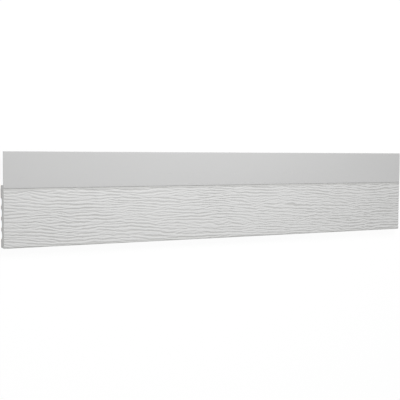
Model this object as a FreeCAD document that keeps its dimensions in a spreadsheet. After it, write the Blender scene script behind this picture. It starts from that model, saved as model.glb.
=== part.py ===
# Garage door stop moulding: a rigid cellular board with a fluted back, and the flexible
# sealing flap that is fused into the rebate along the board's upper front edge.
# Both are one length of extrusion, so every shape here is a section in the Y-Z plane run along X.
# The part lies on its back: +X is the length, +Y runs from the foot edge to the flap's tip,
# and +Z is the grained face. The origin is the bottom centre of the whole outline.
import FreeCAD, Part
import Sketcher
import os

# Driving dimensions in millimetres, except the flute count: alias, value, what it is.
DIMENSIONS = [
    ("cut_length", 406.4, "length of the cut piece, board and flap alike"),
    ("board_width", 50.8, "foot edge to the top of the shoulder behind the flap"),
    ("board_thick", 11.1, "back lands to the grained face"),
    ("face_round", 1.0, "rounding of the grained face's two long edges"),
    ("back_round", 0.6, "rounding of the foot edge's back corner"),
    ("lap_tall", 2.4, "height of the rebate that the flap is fused into"),
    ("lap_deep", 1.8, "depth of that rebate, measured from the grained face"),
    ("foot_land", 6.8, "width of the bearing land along the foot edge"),
    ("upper_land", 7.0, "width of the bearing land behind the flap"),
    ("ease_tall", 3.3, "height of the bevel on the shoulder's back corner"),
    ("ease_deep", 1.2, "depth of that bevel"),
    ("flute_count", 4, "number of relief flutes between the two lands"),
    ("flute_deep", 3.3, "depth of a flute below the rib crests"),
    ("rib_wide", 2.2, "width of a rib between two flutes"),
    ("rib_drop", 0.6, "how far the rib crests stand back from the lands"),
    ("rib_round", 0.5, "rounding of the rib crests and of the lands' inner edges"),
    ("flap_show", 29.8, "how far the flap reaches past the grained face"),
    ("flap_inset", 0.3, "how far the flap's front lies behind the grained face"),
    ("flap_root", 1.2, "height above the shoulder where the flap keeps its full thickness"),
    ("flap_tip", 1.0, "thickness of the flap at its free edge"),
    ("seam_round", 0.4, "rounding of the flap's lower front edge at the seam"),
]

X_AXIS = FreeCAD.Vector(1, 0, 0)
PLACE_TOLERANCE = 1e-4
# Each of the two roundings at the flap's free edge, as a share of its thickness there.
TIP_ROUND_SHARE = 0.4


class Size:
    """A number that keeps the sheet formula it came from, for drawing and binding alike."""

    def __init__(self, value, formula):
        self.value = value
        self.formula = formula

    def join(self, sign, value, other):
        other_formula = other.formula if isinstance(other, Size) else str(other)
        return Size(value, f"({self.formula} {sign} {other_formula})")

    def __add__(self, other):
        return self.join("+", self.value + number(other), other)

    def __sub__(self, other):
        return self.join("-", self.value - number(other), other)

    def __mul__(self, other):
        return self.join("*", self.value * number(other), other)

    def __truediv__(self, other):
        return self.join("/", self.value / number(other), other)

    def __neg__(self):
        return Size(-self.value, f"(-{self.formula})")


def number(item):
    return item.value if isinstance(item, Size) else item


def fill_sheet(doc):
    """Write the driving dimensions into the sheet and return them by name."""
    sheet = doc.addObject("Spreadsheet::Sheet", "Dims")
    sizes = {}
    for row, (alias, value, meaning) in enumerate(DIMENSIONS, start=1):
        sheet.set(f"A{row}", meaning)
        sheet.set(f"B{row}", str(value))
        sheet.setAlias(f"B{row}", alias)
        sizes[alias] = Size(value, f"Dims.{alias}")
    doc.recompute()
    return sizes


def section_sketch(body, name):
    """A sketch on the body's Y-Z plane, where the section's width is across and its depth is up."""
    sketch = body.newObject("Sketcher::SketchObject", name)
    plane = [item for item in body.Origin.OriginFeatures if item.Role == "YZ_Plane"][0]
    sketch.AttachmentSupport = (plane, "")
    sketch.MapMode = "FlatFace"
    return sketch


def dimension(sketch, kind, places, size):
    """Add one dimension to a sketch and bind it to its formula."""
    index = sketch.addConstraint(Sketcher.Constraint(kind, *places, number(size)))
    if isinstance(size, Size):
        sketch.setExpression(f"Constraints[{index}]", size.formula)


def place_point(sketch, line, end, across, up):
    """Dimension a point from the origin. A coordinate given as None is left to the line before it."""
    if across is not None and number(across) == 0:
        sketch.addConstraint(Sketcher.Constraint("PointOnObject", line, end, -2))
    elif across is not None:
        dimension(sketch, "DistanceX", (-1, 1, line, end), across)
    if up is not None and number(up) == 0:
        sketch.addConstraint(Sketcher.Constraint("PointOnObject", line, end, -1))
    elif up is not None:
        dimension(sketch, "DistanceY", (-1, 1, line, end), up)


def draw_outline(sketch, corners):
    """A closed loop of straight lines through (across, up) corners, fully dimensioned.

    Two corners in a row that are given the same Size object lie on one upright or level line.
    """
    points = [FreeCAD.Vector(number(across), number(up), 0) for across, up in corners]
    count = len(points)
    for i in range(count):
        sketch.addGeometry(Part.LineSegment(points[i], points[(i + 1) % count]), False)
    for i in range(count):
        sketch.addConstraint(Sketcher.Constraint("Coincident", i, 2, (i + 1) % count, 1))
    place_point(sketch, 0, 1, *corners[0])
    for i in range(1, count):
        across, up = corners[i]
        if across is corners[i - 1][0]:
            sketch.addConstraint(Sketcher.Constraint("Vertical", i - 1))
            across = None
        if up is corners[i - 1][1]:
            sketch.addConstraint(Sketcher.Constraint("Horizontal", i - 1))
            up = None
        place_point(sketch, i, 1, across, up)


def extrude(body, name, sketch, length):
    """Run a section to both sides of the middle of the piece."""
    pad = body.newObject("PartDesign::Pad", name)
    pad.Profile = sketch
    pad.SideType = "Symmetric"
    pad.setExpression("Length", length.formula)
    return pad


def cut_through(doc, body, name, sketch):
    """Cut a section out along the whole length, and make sure that it removed something."""
    doc.recompute()
    before = body.Shape.Volume
    pocket = body.newObject("PartDesign::Pocket", name)
    pocket.Profile = sketch
    pocket.SideType = "Symmetric"
    pocket.Type = "ThroughAll"
    doc.recompute()
    if body.Shape.Volume >= before:
        raise RuntimeError(f"{name} removed nothing")
    return pocket


def long_edges(feature, places):
    """Names of the feature's edges that run along X through the given (across, up) places."""
    found = []
    for index, edge in enumerate(feature.Shape.Edges, start=1):
        start, end = edge.Vertexes[0].Point, edge.Vertexes[-1].Point
        along = (end - start).cross(X_AXIS).Length < PLACE_TOLERANCE
        if not along or edge.Length < PLACE_TOLERANCE:
            continue
        for across, up in places:
            gap = abs(start.y - number(across)) + abs(start.z - number(up))
            if gap < PLACE_TOLERANCE:
                found.append(f"Edge{index}")
    if len(found) != len(places):
        raise RuntimeError(f"{feature.Label}: {len(found)} of {len(places)} edges found")
    return found


def round_edges(doc, body, name, places, radius):
    """Round the long edges at the given places of the section."""
    doc.recompute()
    base = body.Tip
    fillet = body.newObject("PartDesign::Fillet", name)
    fillet.Base = (base, long_edges(base, places))
    fillet.setExpression("Radius", radius.formula)
    body.Tip = fillet
    return fillet


def lay_down(body, sizes):
    """Centre the piece on the width of the whole moulding, board and flap together."""
    overall = sizes["board_width"] - sizes["lap_tall"] + sizes["flap_show"]
    body.setExpression("Placement.Base.y", (-overall / 2).formula)


def make_board(doc, sizes):
    """The rigid board: block with rebate and bevel, relieved back, flutes, rounded edges."""
    width, thick = sizes["board_width"], sizes["board_thick"]
    back = 0
    foot = 0
    face_top = width - sizes["lap_tall"]
    lap_floor = thick - sizes["lap_deep"]
    land_top = width - sizes["ease_tall"]
    field_start = sizes["foot_land"]
    field_end = land_top - sizes["upper_land"]
    crest = sizes["rib_drop"]

    body = doc.addObject("PartDesign::Body", "stop_board")
    section = section_sketch(body, "board_section")
    draw_outline(
        section,
        [
            (foot, back),
            (foot, thick),
            (face_top, thick),
            (face_top, lap_floor),
            (width, lap_floor),
            (width, sizes["ease_deep"]),
            (land_top, back),
        ],
    )
    extrude(body, "board_run", section, sizes["cut_length"])

    relief = section_sketch(body, "back_relief_section")
    draw_outline(
        relief,
        [
            (field_start, back),
            (field_start, crest),
            (field_end, crest),
            (field_end, back),
        ],
    )
    cut_through(doc, body, "back_relief", relief)

    count = sizes["flute_count"]
    rib = sizes["rib_wide"]
    field = field_end - field_start
    chord = (field - rib * (count - 1)) / count
    depth = sizes["flute_deep"]
    radius = depth / 2 + chord * chord / (depth * 8)
    flute = section_sketch(body, "flute_section")
    draw_flute(flute, field_start, crest, chord, depth, crest + depth - radius)
    first = cut_through(doc, body, "flute", flute)
    row = body.newObject("PartDesign::LinearPattern", "flutes")
    row.Originals = [first]
    row.Direction = (flute, ["H_Axis"])
    row.Mode = "Spacing"
    row.setExpression("Offset", (chord + rib).formula)
    row.setExpression("Occurrences", count.formula)
    body.Tip = row

    crests = []
    for i in range(1, int(number(count))):
        crests.append((field_start + chord * i + rib * (i - 1), crest))
        crests.append((field_start + (chord + rib) * i, crest))
    lands = [(field_start, back), (field_end, back)]
    round_edges(doc, body, "rib_rounding", crests + lands, sizes["rib_round"])
    round_edges(doc, body, "back_rounding", [(foot, back)], sizes["back_round"])
    face_edges = [(foot, thick), (face_top, thick)]
    round_edges(doc, body, "face_rounding", face_edges, sizes["face_round"])
    lay_down(body, sizes)
    return body


def draw_flute(sketch, start, crest, chord, depth, centre_up):
    """One flute's section: a chord on the rib crests, closed by an arc into the board.

    The arc is held by the height of its centre, which may lie on either side of the chord.
    """
    left = FreeCAD.Vector(number(start), number(crest), 0)
    right = left + FreeCAD.Vector(number(chord), 0, 0)
    deepest = (left + right) / 2 + FreeCAD.Vector(0, number(depth), 0)
    sketch.addGeometry(Part.LineSegment(left, right), False)
    sketch.addGeometry(Part.Arc(right, deepest, left), False)
    sketch.addConstraint(Sketcher.Constraint("Coincident", 0, 2, 1, 1))
    sketch.addConstraint(Sketcher.Constraint("Coincident", 0, 1, 1, 2))
    sketch.addConstraint(Sketcher.Constraint("Horizontal", 0))
    place_point(sketch, 0, 1, start, crest)
    dimension(sketch, "DistanceX", (0, 1, 0, 2), chord)
    dimension(sketch, "DistanceY", (-1, 1, 1, 3), centre_up)


def make_flap(doc, sizes):
    """The flexible flap: full thickness in the rebate and at its root, thinner at its free edge."""
    thick = sizes["board_thick"]
    face_top = sizes["board_width"] - sizes["lap_tall"]
    lap_floor = thick - sizes["lap_deep"]
    front = thick - sizes["flap_inset"]
    tip = face_top + sizes["flap_show"]
    root_top = sizes["board_width"] + sizes["flap_root"]
    tip_back = front - sizes["flap_tip"]

    body = doc.addObject("PartDesign::Body", "seal_flap")
    section = section_sketch(body, "flap_section")
    draw_outline(
        section,
        [
            (face_top, lap_floor),
            (face_top, front),
            (tip, front),
            (tip, tip_back),
            (root_top, lap_floor),
        ],
    )
    extrude(body, "flap_run", section, sizes["cut_length"])
    tip_edges = [(tip, front), (tip, tip_back)]
    round_edges(doc, body, "tip_rounding", tip_edges, sizes["flap_tip"] * TIP_ROUND_SHARE)
    round_edges(doc, body, "seam_rounding", [(face_top, front)], sizes["seam_round"])
    lay_down(body, sizes)
    return body


def check_model(doc, bodies):
    """Stop if any feature failed, any sketch is loose, or any piece is not one sound solid."""
    for item in doc.Objects:
        if "Invalid" in item.State or "Error" in item.State:
            raise RuntimeError(f"{item.Label} failed: {item.State}")
        if item.TypeId == "Sketcher::SketchObject" and not item.FullyConstrained:
            raise RuntimeError(f"{item.Label} is not fully constrained")
    for body in bodies:
        if body.Shape.isNull() or not body.Shape.isValid() or len(body.Shape.Solids) != 1:
            raise RuntimeError(f"{body.Label} is not one valid solid")


def main():
    doc = FreeCAD.newDocument("garage_door_stop")
    sizes = fill_sheet(doc)
    bodies = [make_board(doc, sizes), make_flap(doc, sizes)]
    doc.recompute()
    check_model(doc, bodies)
    os.makedirs("parts", exist_ok=True)
    for body in bodies:
        body.Shape.exportStep(f"parts/{body.Label}.step")
        box = body.Shape.BoundBox
        corners = [box.XMin, box.YMin, box.ZMin, box.XMax, box.YMax, box.ZMax]
        corners = [round(value, 3) for value in corners]
        print(body.Label, "volume", round(body.Shape.Volume, 1), "box", corners)


main()
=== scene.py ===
# A cut length of garage door stop moulding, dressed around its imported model: a rigid board of
# cellular plastic with an embossed wood grain, and the flexible flap fused to its upper edge.
# The board lies on its back on the floor, with +X along it, +Y from its foot edge to the flap's
# free edge, and +Z out of the grained face.
import math

import bmesh
import bpy
import numpy as np
from bpy.props import FloatProperty, FloatVectorProperty, IntProperty, PointerProperty
from mathutils import Matrix, Vector


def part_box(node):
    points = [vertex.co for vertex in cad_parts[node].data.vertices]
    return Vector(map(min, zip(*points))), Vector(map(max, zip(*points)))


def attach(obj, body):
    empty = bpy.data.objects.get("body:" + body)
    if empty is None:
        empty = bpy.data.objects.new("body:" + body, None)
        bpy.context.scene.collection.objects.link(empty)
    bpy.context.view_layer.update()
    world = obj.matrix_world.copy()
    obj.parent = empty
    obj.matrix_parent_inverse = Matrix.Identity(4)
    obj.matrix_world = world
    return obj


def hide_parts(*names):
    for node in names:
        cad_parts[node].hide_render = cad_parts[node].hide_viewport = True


bl_info = {
    "name": "Garage door stop moulding",
    "version": (1, 0, 0),
    "blender": (4, 5, 0),
    "location": "3D View > Sidebar > Door stop",
    "description": "Makes a length of grained door stop moulding with its sealing flap",
    "category": "Add Mesh",
}

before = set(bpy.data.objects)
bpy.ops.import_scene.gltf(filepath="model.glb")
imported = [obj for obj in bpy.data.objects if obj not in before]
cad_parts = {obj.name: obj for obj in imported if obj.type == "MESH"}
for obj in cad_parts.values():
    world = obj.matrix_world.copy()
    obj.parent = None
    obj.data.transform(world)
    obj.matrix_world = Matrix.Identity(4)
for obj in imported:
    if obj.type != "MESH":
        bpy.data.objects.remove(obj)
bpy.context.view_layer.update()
BOARD_LOW, BOARD_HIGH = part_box("stop_board")
FLAP_LOW, FLAP_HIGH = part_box("seal_flap")

MM = 0.001
# The longest step of a rounding and of a flute's arc, and the sharpest edge shaded smooth.
ARC_STEP = math.radians(15)
FLUTE_STEP = math.radians(7.5)
CORNER = math.radians(25)
# The distance between shader nodes in the editor.
NODE_WIDE, NODE_TALL = 190, 170


def length(name, description, default, smallest=0.0):
    """A property for a size in metres."""
    return FloatProperty(
        name=name, description=description, default=default, min=smallest,
        precision=5, subtype="DISTANCE", unit="LENGTH",
    )


def share(name, description, default):
    """A property for a number from 0 to 1."""
    return FloatProperty(
        name=name, description=description, default=default, min=0.0, max=1.0,
        subtype="FACTOR",
    )


def colour(name, description, default):
    """A property for a linear colour."""
    return FloatVectorProperty(
        name=name, description=description, default=default, min=0.0, max=1.0,
        size=3, subtype="COLOR",
    )


class DoorStopBoard(bpy.types.PropertyGroup):
    """Sizes of the board's section."""

    face_round: length("Face rounding", "Rounding of the grained face's long edges", 1.0 * MM)
    back_round: length("Back rounding", "Rounding of the foot edge's back corner", 0.6 * MM)
    lap_tall: length("Rebate height", "Height of the rebate that holds the flap", 2.4 * MM)
    lap_deep: length("Rebate depth", "Depth of that rebate from the face", 1.8 * MM)
    foot_land: length("Foot land", "Width of the land along the foot edge", 6.8 * MM)
    upper_land: length("Upper land", "Width of the land behind the flap", 7.0 * MM)
    ease_tall: length("Bevel height", "Height of the shoulder's back bevel", 3.3 * MM)
    ease_deep: length("Bevel depth", "Depth of the shoulder's back bevel", 1.2 * MM)
    flute_deep: length("Flute depth", "Depth of a flute below the rib crests", 3.3 * MM)
    rib_wide: length("Rib width", "Width of a rib between two flutes", 2.2 * MM)
    rib_drop: length("Rib set-back", "How far the rib crests stand back", 0.6 * MM)
    rib_round: length("Rib rounding", "Rounding of the ribs and lands", 0.5 * MM)
    flute_count: IntProperty(
        name="Flutes", description="Number of relief flutes", default=4, min=1, max=12
    )


class DoorStopGrain(bpy.types.PropertyGroup):
    """The embossed wood grain."""

    step_along: length("Step along", "Mesh step along the board", 0.8 * MM, 0.2 * MM)
    step_across: length("Step across", "Mesh step across the board", 0.28 * MM, 0.05 * MM)
    depth: length("Depth", "Depth of the deepest grooves", 0.505 * MM)
    spacing: length("Spacing", "Usual distance between grooves", 2.85 * MM)
    streak: length("Streak", "How far a groove runs before it changes", 7.5 * MM)
    fleck: share("Flecks", "Share of the short flecks among the grooves", 0.65)
    fleck_spacing: length("Fleck spacing", "Usual distance between flecks", 2.2 * MM)
    fleck_long: length("Fleck length", "How far a fleck runs", 2.2 * MM)
    evenness: share("Evenness", "How far the grooves are made alike in strength", 0.7)
    deeper_end: share("Deeper end", "How much deeper the right end is pressed", 0.27)
    swell: length("Swell", "Height of the slow swell under the grain", 0.03 * MM)
    wander: length("Wander", "How far the long waves carry a groove", 0.8 * MM)
    lean: FloatProperty(
        name="Lean", description="Angle between the grooves and the board", subtype="ANGLE",
        default=math.radians(2.0),
    )
    ripple: length("Ripple", "How far the short waves carry a groove", 0.22 * MM)
    kink: length("Kink", "How far its small kinks carry a groove", 0.15 * MM)
    seed: IntProperty(name="Seed", description="Which piece of grain", default=12, min=0)


class DoorStopFlap(bpy.types.PropertyGroup):
    """Sizes of the flap's section."""

    root: length("Root", "Height over the shoulder with full thickness", 1.2 * MM)
    tip: length("Tip thickness", "Thickness at the free edge", 1.0 * MM)
    seam_round: length("Seam rounding", "Rounding of the edge at the seam", 0.4 * MM)
    step_along: length("Step along", "Mesh step along the flap", 2.5 * MM, 0.5 * MM)
    sway: length("Sway", "How far the soft free edge strays backward", 0.25 * MM)
    seed: IntProperty(name="Seed", description="Which stray of the edge", default=11, min=0)
    tip_round: share("Tip rounding", "Each rounding at the free edge, of its thickness", 0.4)


class DoorStopFinish(bpy.types.PropertyGroup):
    """Colours and gloss of the two plastics."""

    board_colour: colour("Board", "Skin of the board", (0.652, 0.652, 0.648))
    # Painted shade: a darker colour that the grooves and the face's two long edges take in place
    # of the shade that falls there.
    groove_shade_colour: colour("Grooves", "Dust held in the grooves", (0.515, 0.515, 0.505))
    core_colour: colour("Core", "Foamed core on the cut ends", (0.645, 0.645, 0.630))
    flap_colour: colour("Flap", "Flexible flap", (0.530, 0.530, 0.528))
    fibre: length("Fibre", "Height of the fine fibres pressed into the face", 0.10 * MM)
    board_roughness: share("Board roughness", "Roughness of the board's skin", 0.52)
    flap_roughness: share("Flap roughness", "Roughness of the flap", 0.60)


class DoorStopStudio(bpy.types.PropertyGroup):
    """Camera, lamps and floor."""

    eye: FloatVectorProperty(
        name="Camera", description="Place of the camera", size=3, subtype="TRANSLATION",
        default=(-0.33966, 0.04083, 0.62807),
    )
    turn: FloatProperty(
        name="Turn", description="Turn of the view towards +X", subtype="ANGLE",
        default=math.radians(26.8142),
    )
    dip: FloatProperty(
        name="Dip", description="Dip of the view towards the foot edge", subtype="ANGLE",
        default=math.radians(3.6925),
    )
    roll: FloatProperty(
        name="Roll", description="Roll of the view", subtype="ANGLE",
        default=math.radians(0.3826),
    )
    focal_pixels: FloatProperty(
        name="Focal length", description="Focal length in pixels of the picture",
        default=769.435,
    )
    picture: IntProperty(name="Picture", description="Side of the picture", default=400)
    key_place: FloatVectorProperty(
        name="Key place", description="Place of the large lamp", size=3,
        subtype="TRANSLATION", default=(-0.02, 0.30, 0.42),
    )
    key_aim: FloatVectorProperty(
        name="Key aim", description="Place that the large lamp points at", size=3,
        subtype="TRANSLATION", default=(-0.02, 0.0, 0.0),
    )
    key_side: length("Key side", "Side of the large square lamp", 0.20)
    key_power: FloatProperty(
        name="Key lamp", description="Power of the large lamp over the board",
        default=1.55, subtype="POWER", unit="POWER",
    )
    fill: FloatProperty(
        name="Fill", description="Strength of the light from all around", default=0.59
    )
    floor_white: share("Floor white", "How much of the floor is plain white to the camera", 0.90)


def arc(centre, radius, start, end, step=ARC_STEP):
    """Points of an arc in the section, from one angle to another, in degrees."""
    count = max(2, math.ceil(abs(math.radians(end - start)) / step))
    angles = np.radians(np.linspace(start, end, count + 1))
    return [
        (centre[0] + radius * math.cos(angle), centre[1] + radius * math.sin(angle))
        for angle in angles
    ]


def rounded(before, corner, after, radius):
    """An arc that rounds a corner between two straight runs."""
    corner = np.array(corner)
    back = np.array(before) - corner
    on = np.array(after) - corner
    back = back / np.linalg.norm(back)
    on = on / np.linalg.norm(on)
    half = math.acos(float(np.clip(back @ on, -1, 1))) / 2
    centre = corner + (back + on) / np.linalg.norm(back + on) * radius / math.sin(half)
    start = corner + back * radius / math.tan(half)
    end = corner + on * radius / math.tan(half)
    first = math.degrees(math.atan2(*(start - centre)[::-1]))
    last = math.degrees(math.atan2(*(end - centre)[::-1]))
    turn = (last - first + 180) % 360 - 180
    return arc(centre, radius, first, first + turn)


def face_outline(sizes):
    """The grained part of the section: rounded foot corner, face, rounded upper corner."""
    low, high = BOARD_LOW.y, BOARD_HIGH.y - sizes.lap_tall
    top = BOARD_HIGH.z
    radius = sizes.face_round
    foot = arc((low + radius, top - radius), radius, 180, 90)
    upper = arc((high - radius, top - radius), radius, 90, 0)
    return foot, upper


def back_outline(sizes):
    """The rest of the section, from the rebate's floor round the back to the foot wall."""
    low, high = BOARD_LOW.y, BOARD_HIGH.y
    floor = BOARD_LOW.z
    lap_wall = high - sizes.lap_tall
    lap_floor = BOARD_HIGH.z - sizes.lap_deep
    land_top = high - sizes.ease_tall
    field_start = low + sizes.foot_land
    field_end = land_top - sizes.upper_land
    crest = floor + sizes.rib_drop
    field = field_end - field_start
    chord = (field - sizes.rib_wide * (sizes.flute_count - 1)) / sizes.flute_count
    deep = sizes.flute_deep
    radius = deep / 2 + chord * chord / (deep * 8)
    centre_up = crest + deep - radius

    outline = [(lap_wall, lap_floor), (high, lap_floor)]
    outline += [(high, floor + sizes.ease_deep), (land_top, floor)]
    for index in range(sizes.flute_count):
        right = field_end - index * (chord + sizes.rib_wide)
        centre = (right - chord / 2, centre_up)
        ends = (index == 0, index == sizes.flute_count - 1)
        outline += flute_points(centre, radius, crest, sizes.rib_round, floor, ends)
    wall = (low, BOARD_HIGH.z - sizes.face_round)
    outline += rounded((field_start, floor), (low, floor), wall, sizes.back_round)
    return outline


def flute_points(centre, radius, crest, blend, floor, ends):
    """One flute from its upper to its lower side. An end that is on a land goes down to it."""
    rise = math.asin((crest - centre[1]) / radius)
    # A rib's rounding touches the level crest and the flute's arc from outside.
    lean = math.asin((crest + blend - centre[1]) / (radius + blend))
    reach = (radius + blend) * math.cos(lean)
    half = radius * math.cos(rise)
    rise, lean = math.degrees(rise), math.degrees(lean)
    if ends[0]:
        first = rise
        upper = arc((centre[0] + half + blend, floor + blend), blend, 270, 180)
    else:
        first = lean
        upper = arc((centre[0] + reach, crest + blend), blend, 270, 180 + lean)[:-1]
    if ends[1]:
        last = rise
        lower = arc((centre[0] - half - blend, floor + blend), blend, 0, -90)
    else:
        last = lean
        lower = arc((centre[0] - reach, crest + blend), blend, -lean, -90)[1:]
    return upper + arc(centre, radius, first, 180 - last, FLUTE_STEP) + lower


def shaped(field, step, gain):
    """A periodic field on a grid, with its spectrum shaped by gain(along, across)."""
    along = np.fft.fftfreq(field.shape[0], step[0])[:, None]
    across = np.abs(np.fft.fftfreq(field.shape[1], step[1]))[None, :]
    return np.fft.ifft2(np.fft.fft2(field) * gain(along, across)).real


def filtered_noise(draws, shape, step, gain):
    """Unit noise on a grid, with its spectrum shaped by gain(along, across)."""
    field = shaped(draws.standard_normal(shape), step, gain)
    return (field - field.mean()) / field.std()


def cloud_gain(long, wide):
    """Spectrum of smooth clouds, with a size along the board and one across it."""
    def gain(along, across):
        return np.exp(-((math.pi * along * long) ** 2) - (math.pi * across * wide) ** 2)
    return gain


def streak_gain(long, spacing, spread):
    """Spectrum of long streaks that lie about one spacing apart."""
    def gain(along, across):
        ring = np.exp(-0.5 * ((across - 1 / spacing) / (spread / spacing)) ** 2)
        return ring * np.exp(-((math.pi * along * long) ** 2))
    return gain


def sample(field, step, along, across):
    """Read a periodic grid between its points."""
    rows = along / step[0]
    columns = across / step[1]
    row, column = np.floor(rows).astype(int), np.floor(columns).astype(int)
    down, right = rows - row, columns - column
    row, column = row % field.shape[0], column % field.shape[1]
    next_row, next_column = (row + 1) % field.shape[0], (column + 1) % field.shape[1]
    near = field[row, column] * (1 - right) + field[row, next_column] * right
    far = field[next_row, column] * (1 - right) + field[next_row, next_column] * right
    return near * (1 - down) + far * down


# Places where the grain parts round a knot: along from the left end, up from the foot edge,
# half length, half height and how far the grooves are pushed apart, in millimetres.
KNOTS = [
    (21.0, 41.5, 6.0, 1.5, 0.9),
    (133.0, 7.0, 7.0, 1.6, 0.7),
    (164.0, 29.0, 9.0, 1.7, 0.9),
    (276.0, 29.5, 9.0, 1.6, 0.9),
    (352.0, 14.0, 8.0, 1.6, 0.7),
]
KNOT_REACH = 2.5
# The grid that the grain's noise is made on: its step and its points, along and across.
GRAIN_STEP = (0.5 * MM, 0.1 * MM)
GRAIN_GRID = (1024, 768)
# Sizes of the smooth fields that shape the grain, along and across.
EVENING = (7 * MM, 4 * MM)
LONG_WAVES = (34 * MM, 11 * MM)
SHORT_WAVES = (8 * MM, 4 * MM)
KINKS = (3.2 * MM, 2 * MM)
VIGOUR = (15 * MM, 4 * MM)
SWELL = (30 * MM, 6 * MM)
# Spread of the grooves' distances, as a share of the usual one, and the noise levels between
# which a groove goes from the face to its full depth.
STREAK_SPREAD = 0.23
GROOVE_FROM, GROOVE_TO = -1.0, 1.9
# The least local power that the grooves are evened by, and the farthest that the vigour and the
# swell go from their middle, in units of their spread.
LEAST_POWER = 0.05
VIGOUR_REACH, SWELL_REACH = 2, 1.5
# Strength of the emboss, as shares of the full depth: the usual one, what the vigour adds to it,
# and what the left half keeps. From the middle to the right end it grows.
PRESS_USUAL, PRESS_VARIES, PRESS_LEFT = 0.90, 0.08, 0.97
DEEPER_FROM = 0.5
# Painted shade along the face's two long edges, at the rounded foot edge and at the seam: the way
# over which it fades out, how much there is outside the grooves, and how much a groove adds. The
# very edge of the foot is left without it.
FOOT_SHADE, FOOT_LEAST, FOOT_GAIN = (2.8 * MM, 1.8 * MM), 0.4, 1.6
SEAM_SHADE, SEAM_LEAST = (2.9 * MM, 1.8 * MM), 0.8
FOOT_UNSHADED = 0.4 * MM
# The relief grows to its full depth over this many radii of the rounded edge.
RELIEF_FADE = 0.9


def smooth_step(low, high, value):
    """From 0 at low to 1 at high, level at both."""
    ramp = np.clip((value - low) / (high - low), 0, 1)
    return ramp * ramp * (3 - 2 * ramp)


def grain_depth(grain, along, across):
    """Depth of the emboss below the face, and how much of a groove each point is."""
    draws = np.random.default_rng(grain.seed)
    grid, step = GRAIN_GRID, GRAIN_STEP
    streaks = filtered_noise(
        draws, grid, step, streak_gain(grain.streak, grain.spacing, STREAK_SPREAD)
    )
    flecks = filtered_noise(
        draws, grid, step, streak_gain(grain.fleck_long, grain.fleck_spacing, STREAK_SPREAD)
    )
    streaks = (streaks + grain.fleck * flecks) / math.hypot(1, grain.fleck)
    local_power = shaped(streaks ** 2, step, cloud_gain(*EVENING))
    streaks /= np.maximum(local_power, LEAST_POWER) ** (grain.evenness / 2)
    long_waves = filtered_noise(draws, grid, step, cloud_gain(*LONG_WAVES))
    short_waves = filtered_noise(draws, grid, step, cloud_gain(*SHORT_WAVES))
    kinks = filtered_noise(draws, grid, step, cloud_gain(*KINKS))
    vigour = filtered_noise(draws, grid, step, cloud_gain(*VIGOUR))
    swell = filtered_noise(draws, grid, step, cloud_gain(*SWELL))

    shift = math.tan(grain.lean) * along
    shift += grain.wander * sample(long_waves, step, along, across)
    shift += grain.ripple * sample(short_waves, step, along, across)
    shift += grain.kink * sample(kinks, step, along, across)
    for centre, height, half_long, half_tall, push in KNOTS:
        off_along = (along - centre * MM) / (half_long * MM)
        off_across = (across - height * MM) / (half_tall * MM)
        near = np.exp(-off_along ** 2 - (off_across / KNOT_REACH) ** 2)
        shift -= push * MM * np.tanh(off_across) * near
    lines = sample(streaks, step, along, across + shift)
    local = np.clip(sample(vigour, step, along, across + shift), -VIGOUR_REACH, VIGOUR_REACH)
    strength = PRESS_USUAL + PRESS_VARIES * local
    rightward = smooth_step(DEEPER_FROM, 1.0, along / along.max())
    strength *= PRESS_LEFT + grain.deeper_end * rightward
    groove = smooth_step(GROOVE_FROM, GROOVE_TO, -lines)
    depth = grain.depth * strength * groove
    slow = np.clip(sample(swell, step, along, across), -SWELL_REACH, SWELL_REACH)
    depth += grain.swell * (SWELL_REACH + slow)
    return depth, groove * strength


def outward(points):
    """Unit normals of an open outline that is walked with its outside on the left."""
    points = np.array(points)
    run = np.gradient(points, axis=0)
    normal = np.stack([-run[:, 1], run[:, 0]], axis=1)
    return normal / np.linalg.norm(normal, axis=1)[:, None]


def even_rows(foot, upper, step):
    """The grained outline as rows: both roundings, and the flat between at an even step."""
    start, end = foot[-1][0], upper[0][0]
    count = math.ceil((end - start) / step)
    flat = [(y, foot[-1][1]) for y in np.linspace(start, end, count + 1)[1:-1]]
    return foot + flat + upper


def new_object(name, vertices, faces):
    """Link a new mesh object made of points and faces."""
    mesh = bpy.data.meshes.new(name)
    mesh.from_pydata(vertices, [], faces)
    mesh.update()
    made = bpy.data.objects.new(name, mesh)
    bpy.context.scene.collection.objects.link(made)
    return made


def close_and_check(made):
    """Turn every face outward and stop if the mesh has a hole."""
    shell = bmesh.new()
    shell.from_mesh(made.data)
    bmesh.ops.recalc_face_normals(shell, faces=shell.faces)
    open_edges = [edge for edge in shell.edges if not edge.is_manifold]
    if open_edges:
        raise RuntimeError(f"{made.name} has {len(open_edges)} open edges")
    shell.to_mesh(made.data)
    shell.free()


def mark_corners(made, grained=None):
    """Shade smoothly, with hard edges where two faces meet at a corner."""
    mesh = made.data
    mesh.shade_smooth()
    shell = bmesh.new()
    shell.from_mesh(mesh)
    for edge in shell.edges:
        faces = edge.link_faces
        hard = faces[0].normal.angle(faces[1].normal, 0) > CORNER
        if hard and grained:
            hard = any(face.index not in grained for face in faces)
        edge.smooth = not hard
    shell.to_mesh(mesh)
    shell.free()


def edge_shade(travel, groove):
    """Painted shade along the face's two long edges, by the way walked from the foot edge."""
    foot = smooth_step(0, FOOT_UNSHADED, travel) * smooth_step(*FOOT_SHADE, travel)
    seam = smooth_step(*SEAM_SHADE, travel[-1] - travel)
    foot_share = np.clip(FOOT_LEAST + FOOT_GAIN * groove, 0, 1)
    seam_share = np.clip(SEAM_LEAST + groove, 0, 1)
    return foot * foot_share + seam * seam_share


def keep_field(mesh, name, field):
    """Keep a field of the face's grid as a point attribute, with 0 on the rest of the board."""
    values = np.zeros(len(mesh.vertices), np.float32)
    values[: field.size] = field.ravel()
    mesh.attributes.new(name, "FLOAT", "POINT").data.foreach_set("value", values)


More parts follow.
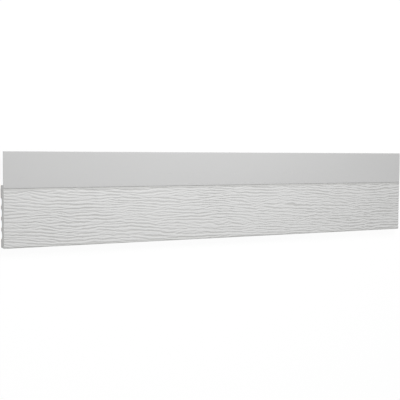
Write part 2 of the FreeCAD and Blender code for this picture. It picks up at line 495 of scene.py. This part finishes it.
def make_board():
    """The board: a grid for the grained face, long strips for the rest, and two cut ends."""
    sizes = bpy.context.scene.door_stop_board
    grain = bpy.context.scene.door_stop_grain
    left, right = BOARD_LOW.x, BOARD_HIGH.x
    columns = np.linspace(left, right, math.ceil((right - left) / grain.step_along) + 1)
    rows = even_rows(*face_outline(sizes), grain.step_across)
    normals = outward(rows)
    rows = np.array(rows)
    run = np.linalg.norm(np.diff(rows, axis=0), axis=1)
    travel = np.concatenate([[0], np.cumsum(run)])

    along, across = np.meshgrid(columns - left, travel, indexing="ij")
    depth, groove = grain_depth(grain, along, across)
    edge = np.minimum(travel, travel[-1] - travel)
    depth *= smooth_step(0, sizes.face_round * RELIEF_FADE, edge)[None, :]

    count_x, count_r = len(columns), len(rows)
    grid = np.empty((count_x, count_r, 3))
    grid[..., 0] = columns[:, None]
    grid[..., 1] = rows[None, :, 0] - depth * normals[None, :, 0]
    grid[..., 2] = rows[None, :, 1] - depth * normals[None, :, 1]
    back = back_outline(sizes)
    vertices = [tuple(point) for point in grid.reshape(-1, 3)]
    first_left = len(vertices)
    vertices += [(left, y, z) for y, z in back]
    first_right = len(vertices)
    vertices += [(right, y, z) for y, z in back]

    faces = []
    for i in range(count_x - 1):
        for j in range(count_r - 1):
            corner = i * count_r + j
            faces.append((corner, corner + count_r, corner + count_r + 1, corner + 1))
    grained = set(range(len(faces)))
    for k in range(len(back) - 1):
        faces.append((first_left + k, first_right + k, first_right + k + 1, first_left + k + 1))
    upper_row = [i * count_r + count_r - 1 for i in range(count_x)]
    faces.append(upper_row + [first_right, first_left])
    foot_row = [i * count_r for i in range(count_x)]
    faces.append(foot_row + [first_right + len(back) - 1, first_left + len(back) - 1])
    faces.append(list(range(count_r)) + list(range(first_left, first_right)))
    last = (count_x - 1) * count_r
    end = list(range(last, last + count_r))
    faces.append(end + list(range(first_right, first_right + len(back))))

    made = new_object("grained_board", vertices, faces)
    close_and_check(made)
    mark_corners(made, grained)
    for end_face in made.data.polygons[-2:]:
        end_face.material_index = 1
    pressed = np.broadcast_to(smooth_step(0, sizes.face_round, edge), depth.shape)
    # Painted shade: darker colour in the grooves and along the foot edge and the seam, kept as the
    # groove attribute.
    painted_shade = np.maximum(groove * pressed, edge_shade(travel, groove))
    keep_field(made.data, "groove", painted_shade)
    keep_field(made.data, "pressed", pressed)
    return made


# Rows across each broad side of the flap, how far they keep from its edges, and the grid and
# the size of the waves of its straying edge.
FLAP_ROWS = 12
FLAP_MARGIN = 2 * MM
STRAY_GRID = (256, 1)
STRAY_WAVES = (38 * MM, 0.0)


def flap_outline(sizes):
    """The flap's section, from the seam over the front to the tip and back along the rear."""
    wall, floor = FLAP_LOW.y, FLAP_LOW.z
    front, tip = FLAP_HIGH.z, FLAP_HIGH.y
    root = BOARD_HIGH.y + sizes.root
    tip_back = front - sizes.tip
    radius = sizes.tip * sizes.tip_round
    corners = [(wall, floor), (wall, front), (tip, front), (tip, tip_back), (root, floor)]
    outline = [corners[0]]
    outline += rounded(corners[0], corners[1], corners[2], sizes.seam_round)
    outline += [
        (y, front) for y in np.linspace(wall + FLAP_MARGIN, tip - FLAP_MARGIN, FLAP_ROWS)
    ]
    outline += rounded(corners[1], corners[2], corners[3], radius)
    outline += rounded(corners[2], corners[3], corners[4], radius)
    slope = (floor - tip_back) / (root - tip)
    outline += [
        (y, tip_back + slope * (y - tip))
        for y in np.linspace(tip - FLAP_MARGIN, root + FLAP_MARGIN / 2, FLAP_ROWS)
    ]
    outline.append(corners[4])
    outline.append((BOARD_HIGH.y, floor))
    return outline


def make_flap():
    """The flap: its section run along the board, with the free edge straying a little."""
    sizes = bpy.context.scene.door_stop_flap
    left, right = FLAP_LOW.x, FLAP_HIGH.x
    columns = np.linspace(left, right, math.ceil((right - left) / sizes.step_along) + 1)
    outline = np.array(flap_outline(sizes))
    count_x, count_r = len(columns), len(outline)

    draws = np.random.default_rng(sizes.seed)
    step = (sizes.step_along, 1.0)
    stray = filtered_noise(draws, STRAY_GRID, step, cloud_gain(*STRAY_WAVES))[:count_x, 0]
    stray = (stray - stray.min()) / (stray.max() - stray.min())
    reach = np.clip((outline[:, 0] - BOARD_HIGH.y) / (FLAP_HIGH.y - BOARD_HIGH.y), 0, 1)
    grid = np.empty((count_x, count_r, 3))
    grid[..., 0] = columns[:, None]
    grid[..., 1] = outline[None, :, 0]
    grid[..., 2] = outline[None, :, 1] - sizes.sway * stray[:, None] * reach[None, :] ** 2
    vertices = [tuple(point) for point in grid.reshape(-1, 3)]
    faces = []
    for i in range(count_x - 1):
        for j in range(count_r):
            here, there = i * count_r + j, i * count_r + (j + 1) % count_r
            faces.append((here, here + count_r, there + count_r, there))
    faces.append(list(range(count_r)))
    last = (count_x - 1) * count_r
    faces.append(list(range(last, last + count_r)))
    made = new_object("soft_flap", vertices, faces)
    close_and_check(made)
    mark_corners(made)
    return made


def add_node(tree, kind, place, **inputs):
    """Add a shader node at a place in the editor and set its named inputs."""
    node = tree.nodes.new(kind)
    node.location = (place[0] * NODE_WIDE, place[1] * NODE_TALL)
    for name, value in inputs.items():
        node.inputs[name.replace("_", " ")].default_value = value
    return node


def math_node(tree, operation, place, first, second=None, third=None):
    """A Math node whose inputs are sockets or numbers."""
    node = add_node(tree, "ShaderNodeMath", place)
    node.operation = operation
    for socket, value in zip(node.inputs, (first, second, third)):
        if value is None:
            continue
        if isinstance(value, (int, float)):
            socket.default_value = value
        else:
            tree.links.new(value, socket)
    return node.outputs[0]


def blend_colours(tree, place, factor, first, second):
    """Mix two colours, each a socket or a colour."""
    node = tree.nodes.new("ShaderNodeMix")
    node.data_type = "RGBA"
    node.location = (place[0] * NODE_WIDE, place[1] * NODE_TALL)
    factor_in, first_in, second_in = node.inputs[0], node.inputs[6], node.inputs[7]
    for socket, value in ((factor_in, factor), (first_in, first), (second_in, second)):
        if isinstance(value, bpy.types.NodeSocket):
            tree.links.new(value, socket)
        elif isinstance(value, (int, float)):
            socket.default_value = value
        else:
            socket.default_value = (*value, 1.0)
    return node.outputs[2]


def new_group(name, inputs, outputs):
    """A shader node group with float inputs, given with their defaults, and named outputs."""
    group = bpy.data.node_groups.new(name, "ShaderNodeTree")
    for label, default in inputs:
        socket = group.interface.new_socket(label, in_out="INPUT", socket_type="NodeSocketFloat")
        socket.default_value = default
    for label in outputs:
        group.interface.new_socket(label, in_out="OUTPUT", socket_type="NodeSocketFloat")
    entry = add_node(group, "NodeGroupInput", (-4, 0))
    leave = add_node(group, "NodeGroupOutput", (4, 0))
    return group, entry, leave


def stretched_noise(tree, place, scale, detail, stretch):
    """Noise in the object's own coordinates, stretched by dividing one axis or more."""
    where = add_node(tree, "ShaderNodeTexCoord", (place[0] - 2, place[1]))
    mapping = add_node(tree, "ShaderNodeMapping", (place[0] - 1, place[1]))
    mapping.inputs["Scale"].default_value = stretch
    noise = add_node(tree, "ShaderNodeTexNoise", place, Detail=detail)
    tree.links.new(where.outputs["Object"], mapping.inputs["Vector"])
    tree.links.new(mapping.outputs["Vector"], noise.inputs["Vector"])
    if isinstance(scale, (int, float)):
        noise.inputs["Scale"].default_value = scale
    else:
        tree.links.new(scale, noise.inputs["Scale"])
    return noise.outputs["Fac"]


def make_die_lines():
    """Fine lines that the die leaves along the extrusion."""
    group, entry, leave = new_group("die_lines", [("Scale", 900.0)], ["Height"])
    fine = stretched_noise(group, (0, 1), entry.outputs["Scale"], 3.0, (0.02, 1, 1))
    broad = stretched_noise(group, (0, -1), 160.0, 2.0, (0.03, 1, 1))
    total = math_node(group, "MULTIPLY_ADD", (2, 0), broad, 0.8, fine)
    group.links.new(total, leave.inputs["Height"])
    return group


def make_mottle():
    """Slow unevenness of tone and gloss in moulded plastic."""
    group, entry, leave = new_group("mottle", [("Scale", 60.0)], ["Tone", "Cloud"])
    cloud = stretched_noise(group, (0, 1), entry.outputs["Scale"], 4.0, (0.35, 1, 1))
    speck = stretched_noise(group, (0, -1), 2600.0, 2.0, (1, 1, 1))
    tone = math_node(group, "MULTIPLY_ADD", (2, 0), speck, 0.35, cloud)
    group.links.new(tone, leave.inputs["Tone"])
    group.links.new(cloud, leave.inputs["Cloud"])
    return group


def skin_bump(tree, lines, place, distance, strength):
    """The bump of the die lines, as a normal."""
    bump = add_node(tree, "ShaderNodeBump", place, Strength=strength, Distance=distance)
    tree.links.new(lines.outputs["Height"], bump.inputs["Height"])
    return bump.outputs["Normal"]


def place_group(tree, group, place, **inputs):
    """Place a node group in a material and set its inputs."""
    node = tree.nodes.new("ShaderNodeGroup")
    node.node_tree = group
    node.location = (place[0] * NODE_WIDE, place[1] * NODE_TALL)
    for name, value in inputs.items():
        node.inputs[name].default_value = value
    return node


def mottled(tree, mottle, place, base, least, most):
    """A colour that the mottle varies between two shares of itself."""
    dark = tuple(channel * least for channel in base)
    light = tuple(channel * most for channel in base)
    return blend_colours(tree, place, mottle.outputs["Tone"], dark, light)


def new_material(name):
    """A material with its node tree and its Principled shader."""
    material = bpy.data.materials.new(name)
    material.use_nodes = True
    tree = material.node_tree
    shader = tree.nodes["Principled BSDF"]
    return material, tree, shader


GLOSS_SPREAD = 0.12


def uneven_gloss(tree, mottle, place, roughness):
    """Roughness that varies a little with the mottle."""
    return math_node(tree, "MULTIPLY_ADD", place, mottle.outputs["Cloud"],
                     GLOSS_SPREAD, roughness - GLOSS_SPREAD / 2)


def board_plastic(groups):
    """Skin of cellular plastic, with painted shade in its grooves and along its face's long edges,
    and fine fibres pressed into its face.
    """
    finish = bpy.context.scene.door_stop_finish
    material, tree, shader = new_material("cellular_plastic")
    mottle = place_group(tree, groups["mottle"], (-6, 2), Scale=45.0)
    lines = place_group(tree, groups["die_lines"], (-6, 0), Scale=1100.0)
    groove = add_node(tree, "ShaderNodeAttribute", (-6, 4))
    groove.attribute_name = "groove"
    pressed = add_node(tree, "ShaderNodeAttribute", (-6, -2))
    pressed.attribute_name = "pressed"

    skin = mottled(tree, mottle, (-4, 3), finish.board_colour, 0.975, 1.02)
    # Painted shade: the skin goes to the darker groove colour by the groove attribute.
    shaded_skin = blend_colours(tree, (-3, 3), groove.outputs["Fac"], skin, finish.groove_shade_colour)
    tree.links.new(shaded_skin, shader.inputs["Base Color"])
    rough = uneven_gloss(tree, mottle, (-3, 1), finish.board_roughness)
    tree.links.new(rough, shader.inputs["Roughness"])

    fibre = stretched_noise(tree, (-4, -3), 2400.0, 3.0, (0.10, 1, 1))
    height = math_node(tree, "MULTIPLY", (-3, -2), fibre, pressed.outputs["Fac"])
    bump = add_node(tree, "ShaderNodeBump", (-2, -1), Strength=0.7, Distance=finish.fibre)
    tree.links.new(height, bump.inputs["Height"])
    tree.links.new(skin_bump(tree, lines, (-3, -1), 0.05 * MM, 0.5), bump.inputs["Normal"])
    tree.links.new(bump.outputs["Normal"], shader.inputs["Normal"])
    shader.inputs["IOR"].default_value = 1.5
    return material


def foam_core(groups):
    """The bare foam of a cut end: open cells under the scores of a saw."""
    finish = bpy.context.scene.door_stop_finish
    material, tree, shader = new_material("foam_core")
    mottle = place_group(tree, groups["mottle"], (-6, 2), Scale=90.0)
    where = add_node(tree, "ShaderNodeTexCoord", (-6, 0))
    cells = add_node(tree, "ShaderNodeTexVoronoi", (-5, 0), Scale=1500.0)
    tree.links.new(where.outputs["Object"], cells.inputs["Vector"])
    pits = math_node(tree, "SMOOTH_MIN", (-4, 0), cells.outputs["Distance"], 0.45, 0.1)
    scores = stretched_noise(tree, (-4, -2), 700.0, 2.0, (1, 1, 0.06))

    core = mottled(tree, mottle, (-3, 2), finish.core_colour, 0.97, 1.03)
    # Painted shade: the open cells are darker in colour than the rest of the core.
    painted_cell_shade = tuple(channel * 0.88 for channel in finish.core_colour)
    open_cell = blend_colours(tree, (-2, 2), pits, painted_cell_shade, core)
    tree.links.new(open_cell, shader.inputs["Base Color"])
    height = math_node(tree, "MULTIPLY_ADD", (-3, -1), scores, 0.6, pits)
    bump = add_node(tree, "ShaderNodeBump", (-2, -1), Strength=0.8, Distance=0.25 * MM)
    tree.links.new(height, bump.inputs["Height"])
    tree.links.new(bump.outputs["Normal"], shader.inputs["Normal"])
    shader.inputs["Roughness"].default_value = 0.9
    shader.inputs["IOR"].default_value = 1.5
    return material


def flap_plastic(groups):
    """Smooth flexible plastic with faint die lines."""
    finish = bpy.context.scene.door_stop_finish
    material, tree, shader = new_material("flexible_plastic")
    mottle = place_group(tree, groups["mottle"], (-6, 2), Scale=28.0)
    lines = place_group(tree, groups["die_lines"], (-6, 0), Scale=700.0)
    skin = mottled(tree, mottle, (-3, 3), finish.flap_colour, 0.97, 1.025)
    tree.links.new(skin, shader.inputs["Base Color"])
    rough = uneven_gloss(tree, mottle, (-3, 1), finish.flap_roughness)
    tree.links.new(rough, shader.inputs["Roughness"])
    normal = skin_bump(tree, lines, (-2, -1), 0.05 * MM, 0.6)
    tree.links.new(normal, shader.inputs["Normal"])
    shader.inputs["IOR"].default_value = 1.53
    return material


def shared_groups():
    """The effects that several plastics use, each made once."""
    makers = {"die_lines": make_die_lines, "mottle": make_mottle}
    for name, maker in makers.items():
        if name not in bpy.data.node_groups:
            maker()
    return {name: bpy.data.node_groups[name] for name in makers}


def plain_rays(tree, place):
    """One for the rays that should meet plain white: from the camera, gloss and clear parts."""
    ray = add_node(tree, "ShaderNodeLightPath", place)
    straight = math_node(tree, "MAXIMUM", (place[0] + 1, place[1]),
                         ray.outputs["Is Camera Ray"], ray.outputs["Is Glossy Ray"])
    return math_node(tree, "MAXIMUM", (place[0] + 2, place[1]),
                     straight, ray.outputs["Is Transmission Ray"])


# Side of the square floor, the colour that it has in the lamps' light, and the strength of the
# plain white that the camera sees on it.
FLOOR_SIDE = 6.0
FLOOR_PAPER = (0.95, 0.95, 0.95, 1.0)
FLOOR_GLOW = 1.02


def make_floor(studio):
    """A pale floor that is white to the camera and keeps a soft shadow."""
    half = FLOOR_SIDE / 2
    corners = [(-half, -half, 0), (half, -half, 0), (half, half, 0), (-half, half, 0)]
    floor = new_object("studio_floor", corners, [(0, 1, 2, 3)])
    floor.location.z = BOARD_LOW.z
    material = bpy.data.materials.new("studio_white")
    material.use_nodes = True
    tree = material.node_tree
    tree.nodes.clear()
    paper = add_node(tree, "ShaderNodeBsdfDiffuse", (-2, -1), Color=FLOOR_PAPER)
    white = add_node(tree, "ShaderNodeEmission", (-2, 1), Strength=FLOOR_GLOW)
    seen = math_node(tree, "MULTIPLY", (-2, 2), plain_rays(tree, (-6, 2)), studio.floor_white)
    mix = add_node(tree, "ShaderNodeMixShader", (0, 0))
    leave = add_node(tree, "ShaderNodeOutputMaterial", (1, 0))
    tree.links.new(seen, mix.inputs[0])
    tree.links.new(paper.outputs[0], mix.inputs[1])
    tree.links.new(white.outputs[0], mix.inputs[2])
    tree.links.new(mix.outputs[0], leave.inputs["Surface"])
    floor.data.materials.append(material)


def make_world(studio):
    """Even light from all around, and plain white where the camera sees past the floor."""
    world = bpy.data.worlds.new("studio_world")
    bpy.context.scene.world = world
    world.use_nodes = True
    tree = world.node_tree
    shade = tree.nodes["Background"]
    level = math_node(tree, "MULTIPLY_ADD", (-2, 0), plain_rays(tree, (-6, 0)),
                      1.0 - studio.fill, studio.fill)
    tree.links.new(level, shade.inputs["Strength"])
    shade.inputs["Color"].default_value = (1, 1, 1, 1)


def add_key_lamp(studio):
    """The large soft lamp over the board, which points at its middle."""
    lamp = bpy.data.lights.new("key_lamp", "AREA")
    lamp.shape = "SQUARE"
    lamp.size = studio.key_side
    lamp.energy = studio.key_power
    made = bpy.data.objects.new("key_lamp", lamp)
    place, aim = Vector(studio.key_place), Vector(studio.key_aim)
    made.location = place
    made.rotation_euler = (aim - place).to_track_quat("-Z", "Y").to_euler()
    bpy.context.scene.collection.objects.link(made)


def make_camera(studio):
    """The camera at the place and angle that the picture was taken from."""
    turn, dip, roll = studio.turn, studio.dip, studio.roll
    ahead = Vector((
        math.sin(turn) * math.cos(dip), -math.sin(dip), -math.cos(turn) * math.cos(dip)
    ))
    level = Vector((math.cos(turn), 0, math.sin(turn)))
    above = level.cross(ahead)
    right = level * math.cos(roll) + above * math.sin(roll)
    up = above * math.cos(roll) - level * math.sin(roll)
    data = bpy.data.cameras.new("camera")
    data.sensor_width = 36.0
    data.lens = studio.focal_pixels / studio.picture * data.sensor_width
    data.clip_start = 0.01
    made = bpy.data.objects.new("camera", data)
    spin = Matrix((right, up, -ahead)).transposed()
    made.matrix_world = Matrix.Translation(Vector(studio.eye)) @ spin.to_4x4()
    bpy.context.scene.collection.objects.link(made)
    bpy.context.scene.camera = made


class DOORSTOP_OT_board(bpy.types.Operator):
    """Make the grained board and its plastic"""

    bl_idname = "doorstop.board"
    bl_label = "Make the board"

    def execute(self, context):
        board = make_board()
        groups = shared_groups()
        board.data.materials.append(board_plastic(groups))
        board.data.materials.append(foam_core(groups))
        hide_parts("stop_board")
        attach(board, "root")
        return {"FINISHED"}


class DOORSTOP_OT_flap(bpy.types.Operator):
    """Make the flexible flap and its plastic"""

    bl_idname = "doorstop.flap"
    bl_label = "Make the flap"

    def execute(self, context):
        flap = make_flap()
        flap.data.materials.append(flap_plastic(shared_groups()))
        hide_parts("seal_flap")
        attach(flap, "root")
        return {"FINISHED"}


class DOORSTOP_OT_studio(bpy.types.Operator):
    """Set up the camera, the lamps and the floor"""

    bl_idname = "doorstop.studio"
    bl_label = "Set up the studio"

    def execute(self, context):
        studio = context.scene.door_stop_studio
        make_camera(studio)
        make_floor(studio)
        make_world(studio)
        add_key_lamp(studio)
        context.scene.view_settings.view_transform = "Standard"
        return {"FINISHED"}


class DOORSTOP_PT_panel(bpy.types.Panel):
    """Lists the steps that make the moulding"""

    bl_label = "Door stop moulding"
    bl_idname = "DOORSTOP_PT_panel"
    bl_space_type = "VIEW_3D"
    bl_region_type = "UI"
    bl_category = "Door stop"

    def draw(self, context):
        scene = context.scene
        for step, settings in STEPS:
            box = self.layout.box()
            box.operator(step.bl_idname)
            for name in settings:
                group = getattr(scene, name)
                for item in group.bl_rna.properties:
                    if item.identifier not in ("rna_type", "name"):
                        box.prop(group, item.identifier)


SETTINGS = {
    "door_stop_board": DoorStopBoard,
    "door_stop_grain": DoorStopGrain,
    "door_stop_flap": DoorStopFlap,
    "door_stop_finish": DoorStopFinish,
    "door_stop_studio": DoorStopStudio,
}
STEPS = [
    (DOORSTOP_OT_studio, ["door_stop_studio"]),
    (DOORSTOP_OT_board, ["door_stop_board", "door_stop_grain", "door_stop_finish"]),
    (DOORSTOP_OT_flap, ["door_stop_flap"]),
]


def register():
    """Register the settings, the steps and the panel."""
    for kind in SETTINGS.values():
        bpy.utils.register_class(kind)
    for step, _ in STEPS:
        bpy.utils.register_class(step)
    bpy.utils.register_class(DOORSTOP_PT_panel)
    for name, kind in SETTINGS.items():
        setattr(bpy.types.Scene, name, PointerProperty(type=kind))


def unregister():
    """Undo what register did."""
    for name in SETTINGS:
        delattr(bpy.types.Scene, name)
    bpy.utils.unregister_class(DOORSTOP_PT_panel)
    for step, _ in reversed(STEPS):
        bpy.utils.unregister_class(step)
    for kind in reversed(list(SETTINGS.values())):
        bpy.utils.unregister_class(kind)


def main():
    """Make the scene."""
    register()
    bpy.ops.doorstop.studio()
    bpy.ops.doorstop.board()
    bpy.ops.doorstop.flap()


if __name__ == "__main__":
    main()
